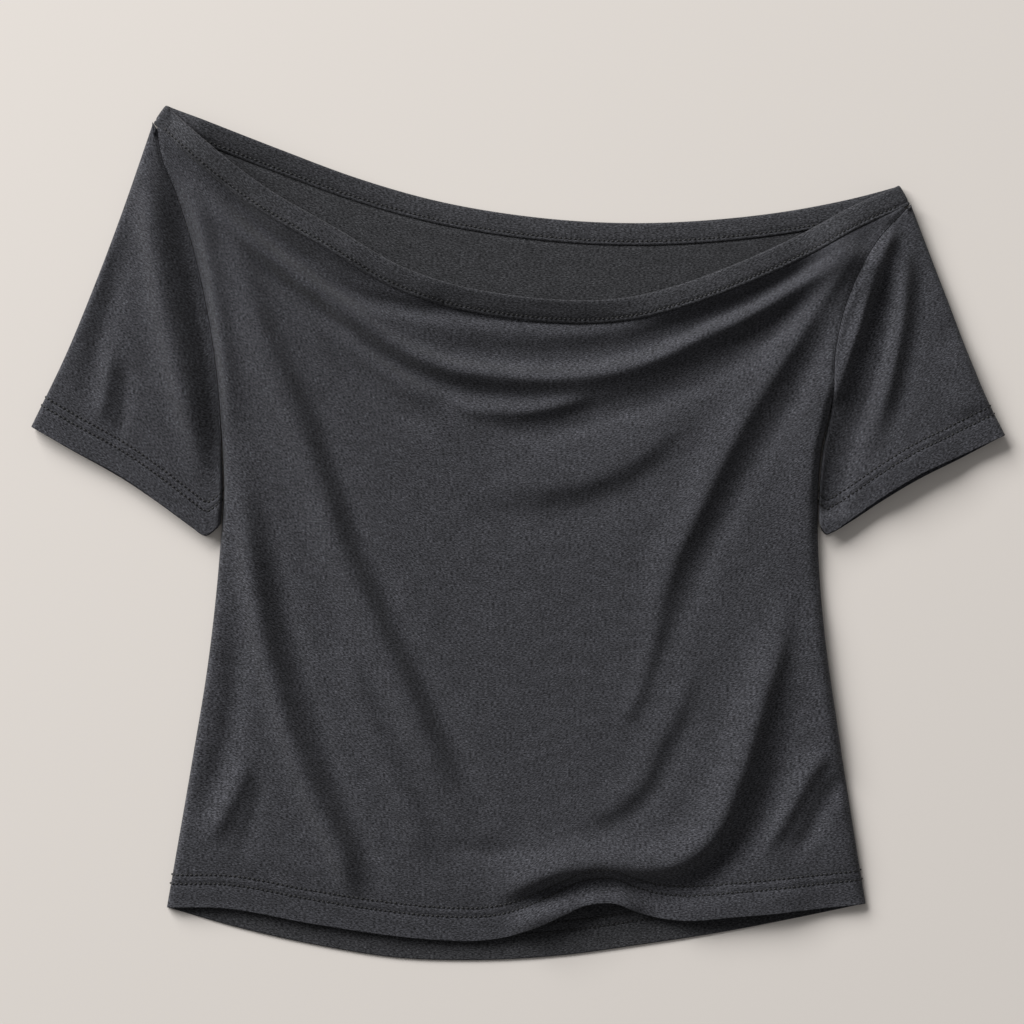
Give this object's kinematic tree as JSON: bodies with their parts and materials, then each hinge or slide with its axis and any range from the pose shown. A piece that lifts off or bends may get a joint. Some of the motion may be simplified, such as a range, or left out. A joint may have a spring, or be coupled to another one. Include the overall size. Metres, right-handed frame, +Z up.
{
  "type": "off-shoulder top",
  "caption": "Short-sleeved off-shoulder top in plain charcoal jersey with a bound wide neckline, laid flat.",
  "frame": {"origin": "middle of the garment's outline on the surface it lies on", "axes": "+X from one cuff to the other, towards the wearer's left sleeve as seen from above; +Y from hem to neckline; +Z up from the surface"},
  "size_m": [0.6326, 0.5558, 0.0106],
  "materials": {
    "jersey": "matt heather knit",
    "binding": "matt knit"
  },
  "bodies": {
    "root": {"front_panel": "jersey", "back_panel": "jersey", "sleeve_left": "jersey", "sleeve_right": "jersey", "neck_band": "binding"}
  },
  "joints": []
}
